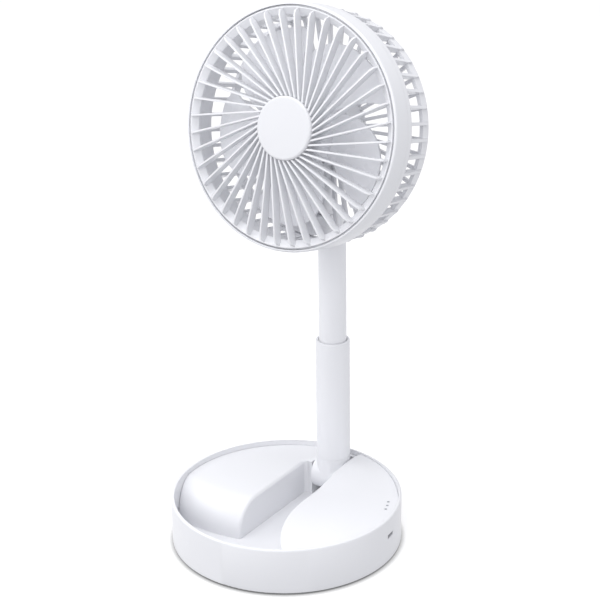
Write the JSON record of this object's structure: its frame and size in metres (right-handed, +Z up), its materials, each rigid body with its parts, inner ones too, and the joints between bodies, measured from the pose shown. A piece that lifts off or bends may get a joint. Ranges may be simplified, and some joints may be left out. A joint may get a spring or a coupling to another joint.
{
  "type": "folding desk fan",
  "caption": "Rechargeable folding desk fan: ribbed round fan head on a telescopic stem that folds into a round base.",
  "frame": {"origin": "centre of the base on the plane that the feet rest on", "axes": "+Z up, -Y the way the fan faces and the way the stem folds, +X to the right of someone whom the fan's back faces, along both hinges"},
  "size_m": [0.166, 0.165, 0.3847],
  "materials": {
    "white_shell": "satin",
    "white_stem": "satin",
    "white_blade": "gloss",
    "grey_dark_plastic": "matte",
    "natural_acetal": "matte",
    "lamp_lens": "frosted",
    "foot_rubber": "matte",
    "steel": "ground",
    "port_steel": "dark plated",
    "lamination_steel": "varnished",
    "magnet": "matte",
    "copper_wire": "enamelled",
    "circuit_board": "solder mask",
    "cell_sleeve": "plastic sleeve"
  },
  "bodies": {
    "base": {"base_wall": "white_shell", "base_deck": "white_shell", "bottom_cover": "white_shell", "rubber_feet": "foot_rubber", "cover_screws": "steel", "battery_cells": "cell_sleeve", "battery_tray": "natural_acetal", "control_board": "circuit_board", "board_posts": "natural_acetal", "usb_port": "port_steel", "lamp_pipes": "lamp_lens", "button_switch": "grey_dark_plastic", "hinge_cheeks": "steel"},
    "hinge_core": {"hinge_pins": "steel", "hinge_washers": "grey_dark_plastic"},
    "lower_stem": {"hinge_barrel": "white_stem", "lower_tube": "white_stem", "tube_bush": "natural_acetal"},
    "upper_stem": {"upper_tube": "white_stem", "foot_bush": "natural_acetal", "tilt_fork": "white_stem", "tilt_pin": "steel", "tilt_washers": "grey_dark_plastic"},
    "head": {"tilt_bracket": "white_shell", "bracket_screws": "steel", "drum_ring": "white_shell", "front_grille": "white_shell", "front_cap": "white_shell", "rear_cage": "white_shell", "stator_core": "lamination_steel", "stator_coils": "copper_wire", "motor_bearings": "steel", "motor_board": "circuit_board"},
    "rotor": {"impeller": "white_blade", "motor_shaft": "steel", "shaft_clip": "steel", "rotor_cup": "lamination_steel", "rotor_magnet": "magnet"},
    "button": {"power_button": "white_shell"}
  },
  "joints": [
    {"name": "stem_fold", "type": "hinge", "parent": "base", "child": "hinge_core", "pos_m": [0, 0.0625, 0.022], "axis": [1, 0, 0], "range_deg": [0, 80]},
    {"name": "stem_nest", "type": "hinge", "parent": "hinge_core", "child": "lower_stem", "pos_m": [0, 0.0625, 0.022], "axis": [1, 0, 0], "range_deg": [0, 10]},
    {"name": "telescope", "type": "slide", "parent": "lower_stem", "child": "upper_stem", "axis": [0, 0, -1], "range_m": [0, 0.076]},
    {"name": "head_tilt", "type": "hinge", "parent": "upper_stem", "child": "head", "pos_m": [0, 0.0625, 0.225], "axis": [-1, 0, 0], "range_deg": [-25, 166.3]},
    {"name": "blade_spin", "type": "hinge", "parent": "head", "child": "rotor", "pos_m": [0, 0.00948, 0.30432], "axis": [0, 0.9715, -0.2368], "continuous": true},
    {"name": "power_button", "type": "slide", "parent": "base", "child": "button", "axis": [-0.6428, -0.766, 0], "range_m": [0, 0.001], "stiffness_N_per_m": 600}
  ]
}
